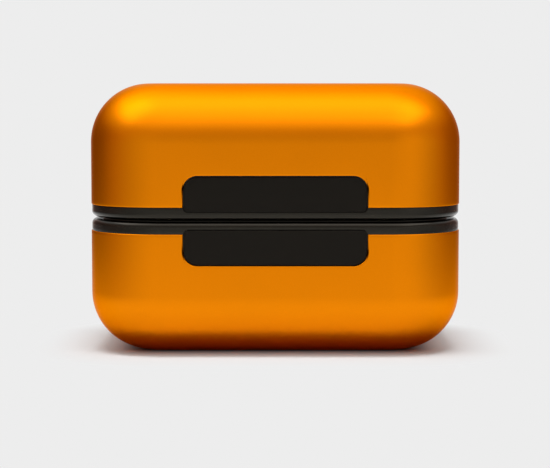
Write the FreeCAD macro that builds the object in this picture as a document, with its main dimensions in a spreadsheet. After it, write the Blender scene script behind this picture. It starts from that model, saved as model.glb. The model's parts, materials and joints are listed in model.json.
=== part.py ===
"""Rechargeable hand warmer pair: two identical units held face to face by magnets.

Each unit is a drawn aluminium shell closed by a black moulded rim frame, with a battery, a heater and a
charging board inside. The lower unit stands on its closed face. The upper unit is the same unit turned
half a turn about the front-to-back axis, so that the two mating faces meet.

Frame: millimetres, +Z up, +X along the long side, the name plates face -Y and the ports face +Y. The
origin is at the centre of the base. Every piece is drawn as it lies in the lower unit.
"""

import FreeCAD, Part
import math
import os
import Sketcher

document = FreeCAD.newDocument("HandWarmerPair")
sheet = document.addObject("Spreadsheet::Sheet", "Sizes")

# Driving dimensions, in millimetres, one cell each. The alias says what each one is.
DRIVING = {
    # outside of one unit
    "unit_width": 80.0,
    "unit_depth": 50.0,
    "unit_height": 28.8,
    "plan_radius": 16.5,
    "edge_radius": 12.6,
    "shell_wall": 1.2,
    "edge_break": 0.2,
    # black rim at the mating face
    "rim_height": 2.8,
    "rim_inset": 0.15,
    "rim_round": 1.15,
    "seam_gap": 0.4,
    "seam_depth": 1.2,
    "skirt_wall": 1.2,
    "skirt_length": 4.5,
    "skirt_clearance": 0.1,
    "tab_overlap": 1.5,
    "deck_thickness": 1.3,
    "face_border": 2.0,
    "face_recess": 0.25,
    "face_gap": 0.15,
    # plates in the front and rear of the rim
    "plate_width": 38.2,
    "plate_height": 7.3,
    "plate_to_seam": 1.9,
    "plate_radius": 2.8,
    "plate_seam_radius": 0.85,
    "plate_gap": 0.25,
    "plate_recess": 0.15,
    "plate_edge": 0.25,
    "stud_radius": 0.9,
    "stud_length": 1.7,
    "stud_to_end": 1.5,
    "stud_clearance": 0.05,
    # button
    "button_x": 10.5,
    "button_width": 8.0,
    "button_height": 3.8,
    "button_proud": 0.15,
    "button_gap": 0.15,
    "button_flange": 0.6,
    "button_flange_thickness": 0.7,
    "button_rest_gap": 0.05,
    "button_edge": 0.35,
    "stem_radius": 1.1,
    "stem_length": 1.35,
    "switch_width": 6.0,
    "switch_depth": 3.6,
    "plunger_radius": 1.0,
    "plunger_out": 0.8,
    "plunger_in": 0.6,
    "plunger_well": 1.2,
    "plunger_clearance": 0.05,
    # charge lights
    "light_radius": 0.55,
    "light_pitch": 2.1,
    "light_clearance": 0.05,
    "light_bar_height": 2.7,
    "light_bar_end": 1.0,
    "light_bar_thickness": 1.0,
    "led_size": 1.2,
    # charging port
    "port_x": 10.5,
    "port_width": 8.94,
    "port_height": 3.26,
    "port_length": 7.35,
    "port_wall": 0.3,
    "port_setback": 0.4,
    "port_gap": 0.27,
    "port_base_length": 2.3,
    "tongue_width": 6.69,
    "tongue_height": 0.7,
    "tongue_setback": 0.6,
    # half of the straight end of each slot, where its two arcs don't quite meet
    "pill_flat": 0.05,
    # circuit board
    "board_thickness": 1.0,
    "board_gap": 0.5,
    "coil_side": 7.0,
    "coil_height": 3.0,
    "chip_side": 4.0,
    "chip_height": 0.9,
    # battery, tray and heater
    "tray_wall": 1.2,
    "tray_floor": 1.0,
    "tray_clearance": 1.1,
    "battery_margin": 2.8,
    "battery_round": 1.5,
    "foam_thickness": 2.0,
    "heat_pad_thickness": 0.5,
    "heater_thickness": 0.8,
    "heater_margin": 0.9,
    "insulation_thickness": 1.7,
    "insulation_end": 4.0,
    "sensor_length": 1.6,
    "sensor_width": 1.2,
    "sensor_height": 0.7,
    "lead_radius": 0.4,
    "lead_pitch": 3.0,
    "lead_bend": 1.2,
    "lead_gap": 0.3,
    # fasteners and magnets
    "screw_radius": 0.9,
    "screw_length": 5.2,
    "screw_fit": 0.02,
    "screw_clearance": 0.15,
    "screw_head_radius": 1.7,
    "screw_head_height": 1.0,
    "screw_head_gap": 0.3,
    "screw_socket_radius": 0.6,
    "screw_socket_depth": 0.6,
    "boss_radius": 2.2,
    "lug_thickness": 1.5,
    "magnet_radius": 4.0,
    "magnet_height": 2.05,
    "magnet_inset": 15.0,
    "magnet_gap": 0.1,
    "magnet_cup_wall": 1.1,
}

for row, (alias, number) in enumerate(DRIVING.items(), start=1):
    sheet.set(f"A{row}", alias)
    sheet.set(f"B{row}", str(number))
    sheet.setAlias(f"B{row}", alias)
document.recompute()

DIAGONAL = math.sqrt(0.5)
# how far a cutting profile reaches past what it cuts
OUTSIDE = 3.0
# distances and volumes under these count as none
SAME_PLACE = 1e-3
SAME_VOLUME = 1e-6
# centres of the board's chips and of its coil
CHIP_PLACES = ((-10.0, -8.0), (9.0, -6.0), (16.0, -1.0), (2.0, 4.0))
COIL_PLACE = (-3.0, -3.0)


class Length:
    """A length that knows both its value and the sheet formula that gives it."""

    def __init__(self, value, formula):
        self.value = value
        self.formula = formula

    def __add__(self, other):
        other = as_length(other)
        return Length(self.value + other.value, f"({self.formula} + {other.formula})")

    def __sub__(self, other):
        other = as_length(other)
        return Length(self.value - other.value, f"({self.formula} - {other.formula})")

    def __mul__(self, other):
        other = as_length(other)
        return Length(self.value * other.value, f"({self.formula} * {other.formula})")

    def __truediv__(self, other):
        other = as_length(other)
        return Length(self.value / other.value, f"({self.formula} / {other.formula})")

    def __radd__(self, other):
        return as_length(other) + self

    def __rsub__(self, other):
        return as_length(other) - self

    def __rmul__(self, other):
        return as_length(other) * self

    def __neg__(self):
        return as_length(0.0) - self

    def root(self):
        return Length(math.sqrt(self.value), f"sqrt({self.formula})")


def as_length(number):
    """A plain number as a Length, or a Length as it is."""
    if isinstance(number, Length):
        return number
    return Length(float(number), f"({float(number):.6f})")


def size(alias):
    """The driving dimension with that alias."""
    return Length(float(sheet.get(alias)), f"Sizes.{alias}")


# Heights that several pieces share, measured from the closed face of the unit.
height = size("unit_height")
shell_top = height - size("rim_height")
lip = height - size("seam_gap") / 2
deck_top = shell_top + size("deck_thickness")
skirt_low = shell_top - size("skirt_length")
plate_high = height - size("plate_to_seam")
plate_low = plate_high - size("plate_height")
tab_low = plate_low - size("plate_gap") - size("tab_overlap")
port_level = (plate_low + plate_high) / 2
board_top = port_level - size("port_height") / 2
board_low = board_top - size("board_thickness")
heater_low = size("shell_wall") + size("heat_pad_thickness")
heater_top = heater_low + size("heater_thickness")
tray_low = heater_top + size("insulation_thickness")
tray_inside_low = tray_low + size("tray_floor")
battery_top = board_low - size("foam_thickness")

# Distances inward from the outside of the shell.
skirt_inset = size("shell_wall") + size("skirt_clearance")
skirt_inside = skirt_inset + size("skirt_wall")
land_inset = size("rim_inset") + size("rim_round") + size("seam_depth")
face_inset = land_inset + size("face_border")
board_inset = skirt_inside + size("board_gap")
cavity_radius = size("edge_radius") - size("shell_wall")
floor_drop = size("edge_radius") - tray_low
cavity_reach = (cavity_radius * cavity_radius - floor_drop * floor_drop).root()
tray_inset = size("edge_radius") - cavity_reach + size("tray_clearance")
tray_inside = tray_inset + size("tray_wall")
battery_inset = tray_inside + size("battery_margin")
heater_inset = size("edge_radius") + size("heater_margin")

# Places along X and Y.
half_width = size("unit_width") / 2
half_depth = size("unit_depth") / 2
plate_back = half_depth - skirt_inset
plate_face = half_depth - size("plate_recess")
plate_half = size("plate_width") / 2
stud_x = plate_half - size("stud_to_end")
flange_front = plate_back - size("button_rest_gap")
flange_back = flange_front - size("button_flange_thickness")
stem_end = flange_back - size("stem_length")
switch_front = stem_end - size("plunger_out")
port_front = half_depth - size("port_setback")
port_back = port_front - size("port_length")
screw_radial = size("plan_radius") - tray_inset + size("screw_head_radius") + size("screw_head_gap")
screw_x = half_width - size("plan_radius") + screw_radial * DIAGONAL
screw_y = half_depth - size("plan_radius") + screw_radial * DIAGONAL
magnet_x = half_width - size("magnet_inset")
magnet_y = half_depth - size("magnet_inset")
lead_x = half_width - battery_inset + size("battery_margin") / 2
light_bar_half = size("light_pitch") * 1.5 + size("light_bar_end")
CORNERS = ((1, 1), (-1, 1), (-1, -1), (1, -1))
LIGHT_STEPS = (-1.5, -0.5, 0.5, 1.5)


# Sketches ---------------------------------------------------------------------------------------------


def add_sketch(body, plane_role, offset):
    """A sketch on one of the body's own origin planes, moved along the plane's normal by offset."""
    sketch = body.newObject("Sketcher::SketchObject", "Sketch")
    plane = next(item for item in body.Origin.OriginFeatures if item.Role == plane_role)
    sketch.AttachmentSupport = [(plane, "")]
    sketch.MapMode = "FlatFace"
    sketch.AttachmentOffset = FreeCAD.Placement(FreeCAD.Vector(0, 0, offset.value), FreeCAD.Rotation())
    sketch.setExpression("AttachmentOffset.Base.z", offset.formula)
    return sketch


def bind(sketch, constraint, length):
    """Adds a constraint whose number comes from the sheet."""
    index = sketch.addConstraint(constraint)
    sketch.setExpression(f"Constraints[{index}]", length.formula)


def draw_circle(sketch, x, y, radius):
    """A circle at (x, y) in the sketch."""
    centre = FreeCAD.Vector(x.value, y.value, 0)
    edge = sketch.addGeometry(Part.Circle(centre, FreeCAD.Vector(0, 0, 1), radius.value), False)
    bind(sketch, Sketcher.Constraint("Radius", edge, radius.value), radius)
    bind(sketch, Sketcher.Constraint("DistanceX", -1, 1, edge, 3, x.value), x)
    bind(sketch, Sketcher.Constraint("DistanceY", -1, 1, edge, 3, y.value), y)


def draw_box(sketch, left, right, low, high):
    """A rectangle between four lines in the sketch."""
    corners = [(left, low), (right, low), (right, high), (left, high)]
    points = [FreeCAD.Vector(x.value, y.value, 0) for x, y in corners]
    first = sketch.GeometryCount
    for index in range(4):
        sketch.addGeometry(Part.LineSegment(points[index], points[(index + 1) % 4]), False)
    for index in range(4):
        sketch.addConstraint(
            Sketcher.Constraint("Coincident", first + index, 2, first + (index + 1) % 4, 1)
        )
        direction = "Horizontal" if index % 2 == 0 else "Vertical"
        sketch.addConstraint(Sketcher.Constraint(direction, first + index))
    bind(sketch, Sketcher.Constraint("DistanceX", -1, 1, first, 1, left.value), left)
    bind(sketch, Sketcher.Constraint("DistanceX", -1, 1, first + 1, 1, right.value), right)
    bind(sketch, Sketcher.Constraint("DistanceY", -1, 1, first, 1, low.value), low)
    bind(sketch, Sketcher.Constraint("DistanceY", -1, 1, first + 2, 1, high.value), high)


def draw_rounded_box(sketch, left, right, low, high, low_radius, high_radius):
    """A rectangle with arcs at its corners: low_radius at the two low ones, high_radius at the others."""
    quarter = math.pi / 2
    first = sketch.GeometryCount
    turns = [
        (right, -1, low, 1, low_radius, 3 * quarter),
        (right, -1, high, -1, high_radius, 0.0),
        (left, 1, high, -1, high_radius, quarter),
        (left, 1, low, 1, low_radius, 2 * quarter),
    ]
    ends = []
    for side, inward_x, level, inward_y, radius, start in turns:
        centre = FreeCAD.Vector(
            side.value + inward_x * radius.value, level.value + inward_y * radius.value, 0
        )
        circle = Part.Circle(centre, FreeCAD.Vector(0, 0, 1), radius.value)
        arc = Part.ArcOfCircle(circle, start, start + quarter)
        sketch.addGeometry(arc, False)
        ends.append((arc.StartPoint, arc.EndPoint))
    for index in range(4):
        line = Part.LineSegment(ends[index][1], ends[(index + 1) % 4][0])
        sketch.addGeometry(line, False)
    for index in range(4):
        line = first + 4 + index
        sketch.addConstraint(Sketcher.Constraint("Tangent", first + index, 2, line, 1))
        sketch.addConstraint(Sketcher.Constraint("Tangent", line, 2, first + (index + 1) % 4, 1))
        direction = "Vertical" if index % 2 == 0 else "Horizontal"
        sketch.addConstraint(Sketcher.Constraint(direction, line))
    bind(sketch, Sketcher.Constraint("DistanceX", -1, 1, first + 4, 1, right.value), right)
    bind(sketch, Sketcher.Constraint("DistanceX", -1, 1, first + 6, 1, left.value), left)
    bind(sketch, Sketcher.Constraint("DistanceY", -1, 1, first + 5, 1, high.value), high)
    bind(sketch, Sketcher.Constraint("DistanceY", -1, 1, first + 7, 1, low.value), low)
    sketch.addConstraint(Sketcher.Constraint("Equal", first, first + 3))
    sketch.addConstraint(Sketcher.Constraint("Equal", first + 1, first + 2))
    bind(sketch, Sketcher.Constraint("Radius", first, low_radius.value), low_radius)
    bind(sketch, Sketcher.Constraint("Radius", first + 1, high_radius.value), high_radius)


def outline(inset):
    """Draws the unit's plan outline, moved inward by inset."""
    x = half_width - inset
    y = half_depth - inset
    radius = size("plan_radius") - inset
    return lambda sketch: draw_rounded_box(sketch, -x, x, -y, y, radius, radius)


def outside_of(inset):
    """Draws all that lies outside the plan outline moved inward by inset."""

    def draw(sketch):
        x = half_width + OUTSIDE
        y = half_depth + OUTSIDE
        draw_box(sketch, -x, x, -y, y)
        outline(inset)(sketch)

    return draw


def box(x, x_half, y, y_half):
    """Draws a rectangle by its centre and half sides."""
    x, y, x_half, y_half = (as_length(number) for number in (x, y, x_half, y_half))
    return lambda sketch: draw_box(sketch, x - x_half, x + x_half, y - y_half, y + y_half)


def pill(x, x_half, y, y_half):
    """Draws a slot with all but round ends by its centre and half sides."""
    radius = y_half - size("pill_flat")
    return lambda sketch: draw_rounded_box(
        sketch, x - x_half, x + x_half, y - y_half, y + y_half, radius, radius
    )


def circles(places, radius):
    """Draws circles of one radius at the places."""

    def draw(sketch):
        for x, y in places:
            draw_circle(sketch, as_length(x), as_length(y), radius)

    return draw


def plate_window(gap):
    """Draws the name plate's outline, as seen from the front, moved outward by gap."""
    x = plate_half + gap
    low_radius = size("plate_radius") + gap
    high_radius = size("plate_seam_radius") + gap
    return lambda sketch: draw_rounded_box(
        sketch, -x, x, plate_low - gap, plate_high + gap, low_radius, high_radius
    )


# Features ---------------------------------------------------------------------------------------------


def add_body(name):
    """An empty body that may hold several separate solids."""
    body = document.addObject("PartDesign::Body", name)
    body.AllowCompound = True
    return body


def add_feature(body, kind, draw, plane_role, offset, length, may_miss=False):
    """A Pad or Pocket of a drawn profile, whose effect on the volume is checked unless it may miss."""
    before = 0.0 if body.Shape.isNull() else body.Shape.Volume
    sketch = add_sketch(body, plane_role, offset)
    draw(sketch)
    feature = body.newObject(f"PartDesign::{kind}", kind)
    feature.Profile = sketch
    feature.setExpression("Length", length.formula)
    document.recompute()
    after = body.Shape.Volume
    if not may_miss and ((kind == "Pad") != (after > before) or abs(after - before) < SAME_VOLUME):
        raise RuntimeError(f"{body.Name}: {kind} changed the volume from {before} to {after}")
    return feature


def pad_up(body, draw, low, high):
    """Adds the profile between two heights."""
    return add_feature(body, "Pad", draw, "XY_Plane", as_length(low), high - low)


def cut_up(body, draw, low, high):
    """Cuts the profile away between two heights."""
    return add_feature(body, "Pocket", draw, "XY_Plane", as_length(high), high - low)


def trim(body, inset, low, high):
    """Cuts off whatever reaches outside the plan outline moved inward by inset, where anything does."""
    return add_feature(body, "Pocket", outside_of(inset), "XY_Plane", high, high - low, may_miss=True)


def pad_back(body, draw, front, back):
    """Adds the profile between two places along Y. The plane's normal is -Y."""
    return add_feature(body, "Pad", draw, "XZ_Plane", -back, back - front)


def cut_back(body, draw, front, back):
    """Cuts the profile away between two places along Y. The plane's normal is -Y."""
    return add_feature(body, "Pocket", draw, "XZ_Plane", -front, back - front)


def round_edges(body, radius, keep):
    """Rounds the edges of the body for which keep(edge) is true."""
    base = body.Tip
    names = [f"Edge{index}" for index, edge in enumerate(base.Shape.Edges, start=1) if keep(edge)]
    fillet = body.newObject("PartDesign::Fillet", "Fillet")
    fillet.Base = (base, names)
    fillet.setExpression("Radius", radius.formula)
    document.recompute()
    return fillet


def at_level(level):
    """True for an edge that lies at one height."""
    return lambda edge: all(abs(point.z - level.value) < SAME_PLACE for point in edge_points(edge))


def at_depth(depth):
    """True for an edge that lies in one plane across Y."""
    return lambda edge: all(abs(point.y - depth.value) < SAME_PLACE for point in edge_points(edge))


def edge_points(edge):
    """The two ends and the middle of an edge."""
    first, last = edge.ParameterRange
    return [edge.valueAt(first + share * (last - first)) for share in (0.0, 0.5, 1.0)]


def inset_of(point):
    """How far inside the unit's plan outline a point lies."""
    radius = size("plan_radius").value
    past_x = abs(point.x) - (half_width.value - radius)
    past_y = abs(point.y) - (half_depth.value - radius)
    if past_x > 0 and past_y > 0:
        return radius - math.hypot(past_x, past_y)
    return radius - max(past_x, past_y)


# Casing -----------------------------------------------------------------------------------------------


def shell(name):
    """Drawn aluminium cap with one notch in front and one behind for the plates."""
    body = add_body(name)
    pad_up(body, outline(0.0), as_length(0.0), shell_top)
    cut_up(body, outline(size("shell_wall")), size("shell_wall"), shell_top)
    round_edges(body, cavity_radius, at_level(size("shell_wall")))
    round_edges(body, size("edge_radius"), at_level(as_length(0.0)))
    cut_back(body, plate_window(size("plate_gap")), -half_depth - OUTSIDE, half_depth + OUTSIDE)

    def outer_rim(edge):
        points = edge_points(edge)
        outside = all(inset_of(point) < SAME_PLACE for point in points)
        return outside and min(point.z for point in points) > size("edge_radius").value + SAME_PLACE

    round_edges(body, size("edge_break"), outer_rim)
    return body


def plate_seat(name):
    """The room that the two plates and the gap round them take out of the rim frame."""
    body = add_body(name)
    pad_back(body, plate_window(size("button_gap")), -half_depth - OUTSIDE, half_depth + OUTSIDE)
    cut_up(body, outline(skirt_inset), plate_low - OUTSIDE, height)
    return body


def frame_core(name):
    """The rim frame before the seats of its plates are cut."""
    body = add_body(name)
    pad_up(body, outline(size("rim_inset")), shell_top, lip)
    round_edges(body, size("rim_round"), at_level(lip))
    pad_up(body, outline(land_inset), shell_top, height)
    cut_up(body, outline(face_inset), deck_top, height)
    pad_up(body, outline(skirt_inset), skirt_low, shell_top)
    cut_up(body, outline(skirt_inside), skirt_low, shell_top)
    tab_half = plate_half + size("plate_gap") + size("tab_overlap")
    tabs = box(0.0, tab_half, (tab_low + shell_top) / 2, (shell_top - tab_low) / 2)
    for side in (-1, 1):
        near = half_depth - skirt_inside - size("edge_break")
        ends = sorted((side * near, side * plate_back), key=lambda length: length.value)
        pad_back(body, tabs, ends[0], ends[1])
    trim(body, skirt_inset, tab_low, shell_top)
    cut_up(body, outline(skirt_inside), tab_low, shell_top)
    bosses = [(x * screw_x, y * screw_y) for x, y in CORNERS]
    pad_up(body, circles(bosses, size("boss_radius")), board_top, shell_top)
    trim(body, skirt_inset, board_top, shell_top)
    cups = [(x * magnet_x, y * magnet_y) for x, y in CORNERS]
    pocket = size("magnet_radius") + size("magnet_gap")
    cup_low = deck_top - size("magnet_height") - size("magnet_cup_wall")
    pad_up(body, circles(cups, pocket + size("magnet_cup_wall")), cup_low, shell_top)
    cut_up(body, circles(cups, pocket), deck_top - size("magnet_height"), deck_top)
    screw_end = board_low - size("lug_thickness") + size("screw_length")
    cut_up(body, circles(bosses, size("screw_radius") + size("screw_fit")), board_top, screw_end)
    behind = half_depth - skirt_inside - OUTSIDE
    cut_back(body, port_opening(), behind, half_depth)
    cut_back(body, light_bar_room(size("button_gap")), behind, plate_back)
    cut_back(body, flange_outline(size("button_gap")), behind, plate_back)
    holes = circles(stud_places(), size("stud_radius") + size("stud_clearance"))
    cut_back(body, holes, -half_depth, -half_depth + skirt_inside + OUTSIDE)
    cut_back(body, holes, behind, half_depth)
    return body


def rim_frame(name):
    """Black moulded frame that closes the shell, carries the plates and holds the magnets."""
    frame = document.addObject("Part::Cut", name)
    frame.Base = frame_core(f"{name}_core")
    frame.Tool = plate_seat(f"{name}_seat")
    document.recompute()
    return frame


def stud_places():
    """Where the two studs of a plate go through the frame."""
    return [(-stud_x, port_level), (stud_x, port_level)]


def port_opening():
    """Draws the charging port's opening."""
    half_high = (size("port_height") / 2) + size("port_gap")
    half_wide = (size("port_width") / 2) + size("port_gap")
    return pill(-size("port_x"), half_wide, port_level, half_high)


def button_outline(gap):
    """Draws the button's head, moved outward by gap."""
    half_high = size("button_height") / 2 + gap
    return pill(size("button_x"), size("button_width") / 2 + gap, port_level, half_high)


def flange_outline(gap):
    """Draws the flange that keeps the button behind its plate, moved outward by gap."""
    return button_outline(size("button_flange") + gap)


def light_places():
    """Where the charge lights show."""
    return [(step * size("light_pitch"), port_level) for step in LIGHT_STEPS]


def light_bar_room(gap):
    """Draws the light bar, moved outward by gap."""
    return box(0.0, light_bar_half + gap, port_level, size("light_bar_height") / 2 + gap)


def plate(name, side):
    """A plate that follows the shell's outline and plugs into the frame by two studs."""
    body = add_body(name)
    inside = half_depth / 2
    ends = sorted((side * inside, side * (half_depth + OUTSIDE)), key=lambda length: length.value)
    pad_back(body, plate_window(as_length(0.0)), ends[0], ends[1])
    trim(body, size("plate_recess"), plate_low, plate_high)
    cut_up(body, outline(skirt_inset), plate_low, plate_high)
    face = side * plate_face
    round_edges(body, size("plate_edge"), at_depth(face))
    back = side * (plate_back - size("stud_length"))
    ends = sorted((back, side * plate_back), key=lambda length: length.value)
    pad_back(body, circles(stud_places(), size("stud_radius")), ends[0], ends[1])
    return body


def front_plate(name):
    """Bare name plate."""
    return plate(name, -1)


def control_plate(name):
    """Plate behind with the openings for the port, the charge lights and the button."""
    body = plate(name, 1)
    cut_back(body, port_opening(), plate_back - OUTSIDE, half_depth)
    cut_back(body, button_outline(size("button_gap")), plate_back - OUTSIDE, half_depth)
    lights = circles(light_places(), size("light_radius") + size("light_clearance"))
    cut_back(body, lights, plate_back - OUTSIDE, half_depth)
    return body


def face_plate(name):
    """Flat black cover of the mating face, over the magnets."""
    body = add_body(name)
    top = height - size("face_recess")
    pad_up(body, outline(face_inset + size("face_gap")), deck_top, top)
    round_edges(body, size("plate_edge"), at_level(top))
    return body


# Button, lights and port ------------------------------------------------------------------------------


def power_button(name):
    """Press button with its flange and stem."""
    body = add_body(name)
    head_front = plate_face + size("button_proud")
    pad_back(body, button_outline(as_length(0.0)), flange_back, head_front)
    round_edges(body, size("button_edge"), at_depth(head_front))
    pad_back(body, flange_outline(as_length(0.0)), flange_back, flange_front)
    pad_back(body, circles([(size("button_x"), port_level)], size("stem_radius")), stem_end, flange_back)
    return body


def switch_plunger(name):
    """Plunger of the tactile switch, which the stem rests on."""
    body = add_body(name)
    place = [(size("button_x"), port_level)]
    pad_back(body, circles(place, size("plunger_radius")), switch_front - size("plunger_in"), stem_end)
    return body


def tact_switch(name):
    """Housing of the tactile switch, with the well that its plunger slides in."""
    body = add_body(name)
    high = port_level + (port_level - board_top)
    outer = box(
        size("button_x"), size("switch_width") / 2, (board_top + high) / 2, (high - board_top) / 2
    )
    pad_back(body, outer, switch_front - size("switch_depth"), switch_front)
    well = circles(
        [(size("button_x"), port_level)], size("plunger_radius") + size("plunger_clearance")
    )
    cut_back(body, well, switch_front - size("plunger_well"), switch_front)
    return body


def light_bar(name):
    """Clear bar that leads the charge lights to four small windows."""
    body = add_body(name)
    bar_back = plate_back - size("light_bar_thickness")
    pad_back(body, light_bar_room(as_length(0.0)), bar_back, plate_back)
    window_face = plate_face - size("plate_edge") / 2
    pad_back(body, circles(light_places(), size("light_radius")), plate_back, window_face)
    return body


def status_leds(name):
    """Four small lamps on the board behind the light bar."""
    body = add_body(name)
    half = size("led_size") / 2
    place = half_depth - board_inset - half - size("board_gap")

    def draw(sketch):
        for step in LIGHT_STEPS:
            box(step * size("light_pitch"), half, place, half)(sketch)

    pad_up(body, draw, board_top, board_top + size("led_size"))
    return body


def port_shell(name):
    """Drawn steel shell of the charging port."""
    body = add_body(name)
    half_wide = size("port_width") / 2
    half_high = size("port_height") / 2
    outer = pill(-size("port_x"), half_wide, port_level, half_high)
    pad_back(body, outer, port_back, port_front)
    wall = size("port_wall")
    inner = pill(-size("port_x"), half_wide - wall, port_level, half_high - wall)
    cut_back(body, inner, port_back, port_front)
    return body


def port_insert(name):
    """Insulator that closes the port behind and carries its tongue."""
    body = add_body(name)
    wall = size("port_wall")
    inner = pill(
        -size("port_x"), size("port_width") / 2 - wall, port_level, size("port_height") / 2 - wall
    )
    base_front = port_back + size("port_base_length")
    pad_back(body, inner, port_back, base_front)
    tongue = box(-size("port_x"), size("tongue_width") / 2, port_level, size("tongue_height") / 2)
    pad_back(body, tongue, base_front, port_front - size("tongue_setback"))
    return body


# Electronics ------------------------------------------------------------------------------------------


def circuit_board(name):
    """Charging and heater board, held between the tray and the frame's bosses."""
    body = add_body(name)
    pad_up(body, outline(board_inset), board_low, board_top)
    holes = [(x * screw_x, y * screw_y) for x, y in CORNERS]
    radius = size("screw_radius") + size("screw_clearance")
    cut_up(body, circles(holes, radius), board_low, board_top)
    return body


def board_chips(name):
    """Charge controller, heater driver and their neighbours."""
    body = add_body(name)
    half = size("chip_side") / 2

    def draw(sketch):
        for x, y in CHIP_PLACES:
            box(x, half, y, half)(sketch)

    pad_up(body, draw, board_top, board_top + size("chip_height"))
    return body


def power_coil(name):
    """Square inductor of the voltage converter."""
    body = add_body(name)
    x, y = COIL_PLACE
    half = size("coil_side") / 2
    pad_up(body, box(x, half, y - half, half), board_top, board_top + size("coil_height"))
    return body


# Battery and heater -----------------------------------------------------------------------------------


def battery_tray(name):
    """Moulded tray that holds the battery, with four lugs under the board."""
    body = add_body(name)
    pad_up(body, outline(tray_inset), tray_low, board_low)
    lugs = [(x * screw_x, y * screw_y) for x, y in CORNERS]
    pad_up(body, circles(lugs, size("boss_radius")), board_low - size("lug_thickness"), board_low)
    cut_up(body, outline(tray_inside), tray_inside_low, board_low)
    radius = size("screw_radius") + size("screw_clearance")
    cut_up(body, circles(lugs, radius), board_low - size("lug_thickness"), board_low)
    slot_half = size("lead_pitch") + size("lead_radius") + size("lead_gap")
    slot = box(-lead_x, size("lead_radius") + size("lead_gap"), 0.0, slot_half)
    cut_up(body, slot, tray_low, tray_inside_low)
    return body


def battery_cell(name):
    """Flat lithium cell with rounded edges."""
    body = add_body(name)
    pad_up(body, outline(battery_inset), tray_inside_low, battery_top)
    round_edges(body, size("battery_round"), at_level(battery_top))
    return body


def battery_pad(name):
    """Foam that presses the battery into its tray."""
    body = add_body(name)
    pad_up(body, outline(battery_inset + size("battery_round")), battery_top, board_low)
    return body


def heat_pad(name):
    """Silicone pad that joins the heater to the shell's floor."""
    body = add_body(name)
    pad_up(body, outline(heater_inset), size("shell_wall"), heater_low)
    return body


def heater_plate(name):
    """Heating element on an aluminium plate."""
    body = add_body(name)
    pad_up(body, outline(heater_inset), heater_low, heater_top)
    return body


def insulation_pad(name):
    """Foam that keeps the heat off the battery, short of the heater's ends for its leads."""
    body = add_body(name)
    x = half_width - heater_inset - size("insulation_end")
    y = half_depth - heater_inset - size("heater_margin")
    pad_up(body, box(0.0, x, 0.0, y), heater_top, tray_low)
    return body


def heat_sensor(name):
    """Thermistor on the heater's free end."""
    body = add_body(name)
    x = half_width - heater_inset - size("insulation_end") / 2
    pad_up(
        body,
        box(x, size("sensor_length") / 2, 0.0, size("sensor_width") / 2),
        heater_top,
        heater_top + size("sensor_height"),
    )
    return body


def bent_lead(start, corner, end, radius):
    """A wire from start to end round one corner, as one solid."""
    bend = size("lead_bend").value
    into = (start - corner).normalize() * bend
    away = (end - corner).normalize() * bend
    middle = corner + (into + away) * (1 - DIAGONAL)
    path = Part.Wire(
        [
            Part.LineSegment(start, corner + into).toShape(),
            Part.Arc(corner + into, middle, corner + away).toShape(),
            Part.LineSegment(corner + away, end).toShape(),
        ]
    )
    ring = Part.Circle(start, (corner - start).normalize(), radius).toShape()
    return path.makePipeShell([Part.Wire([ring])], True, True)


def lead_group(name, side, level, inner_x, offsets):
    """Wires that run outward along X at one height, then up to the underside of the board."""
    wires = []
    for offset in offsets:
        y = offset * size("lead_pitch").value
        start = FreeCAD.Vector(side * inner_x.value, y, level.value)
        corner = FreeCAD.Vector(side * lead_x.value, y, level.value)
        end = FreeCAD.Vector(side * lead_x.value, y, board_low.value)
        wires.append(bent_lead(start, corner, end, size("lead_radius").value))
    group = document.addObject("Part::Feature", name)
    group.Shape = Part.makeCompound(wires)
    return group


def battery_leads(name):
    """Two wires from the battery's end to the board."""
    level = battery_top - size("battery_round") - size("lead_bend")
    return lead_group(name, 1, level, half_width - battery_inset, (-0.5, 0.5))


def heater_leads(name):
    """Two wires from the heater, up through the tray's slot to the board."""
    inner_x = half_width - heater_inset - size("insulation_end") / 2
    return lead_group(name, -1, heater_top + size("lead_radius"), inner_x, (-0.5, 0.5))


# Fasteners and magnets --------------------------------------------------------------------------------


def screws(name):
    """Four screws that clamp the tray and the board to the frame."""
    body = add_body(name)
    places = [(x * screw_x, y * screw_y) for x, y in CORNERS]
    under_lug = board_low - size("lug_thickness")
    head_low = under_lug - size("screw_head_height")
    pad_up(body, circles(places, size("screw_head_radius")), head_low, under_lug)
    shank_top = under_lug + size("screw_length") - size("lead_gap")
    pad_up(body, circles(places, size("screw_radius")), under_lug, shank_top)
    socket_top = head_low + size("screw_socket_depth")
    cut_up(body, circles(places, size("screw_socket_radius")), head_low, socket_top)
    return body


def magnets(name):
    """Four disc magnets in the frame's cups, under the face plate."""
    body = add_body(name)
    places = [(x * magnet_x, y * magnet_y) for x, y in CORNERS]
    low = deck_top - size("magnet_height")
    pad_up(body, circles(places, size("magnet_radius")), low, deck_top - size("magnet_gap"))
    return body


# Both units -------------------------------------------------------------------------------------------

SUBPARTS = (
    shell,
    rim_frame,
    front_plate,
    control_plate,
    face_plate,
    power_button,
    switch_plunger,
    tact_switch,
    light_bar,
    status_leds,
    port_shell,
    port_insert,
    circuit_board,
    board_chips,
    power_coil,
    battery_tray,
    battery_cell,
    battery_pad,
    heat_pad,
    heater_plate,
    insulation_pad,
    heat_sensor,
    battery_leads,
    heater_leads,
    screws,
    magnets,
)


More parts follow.
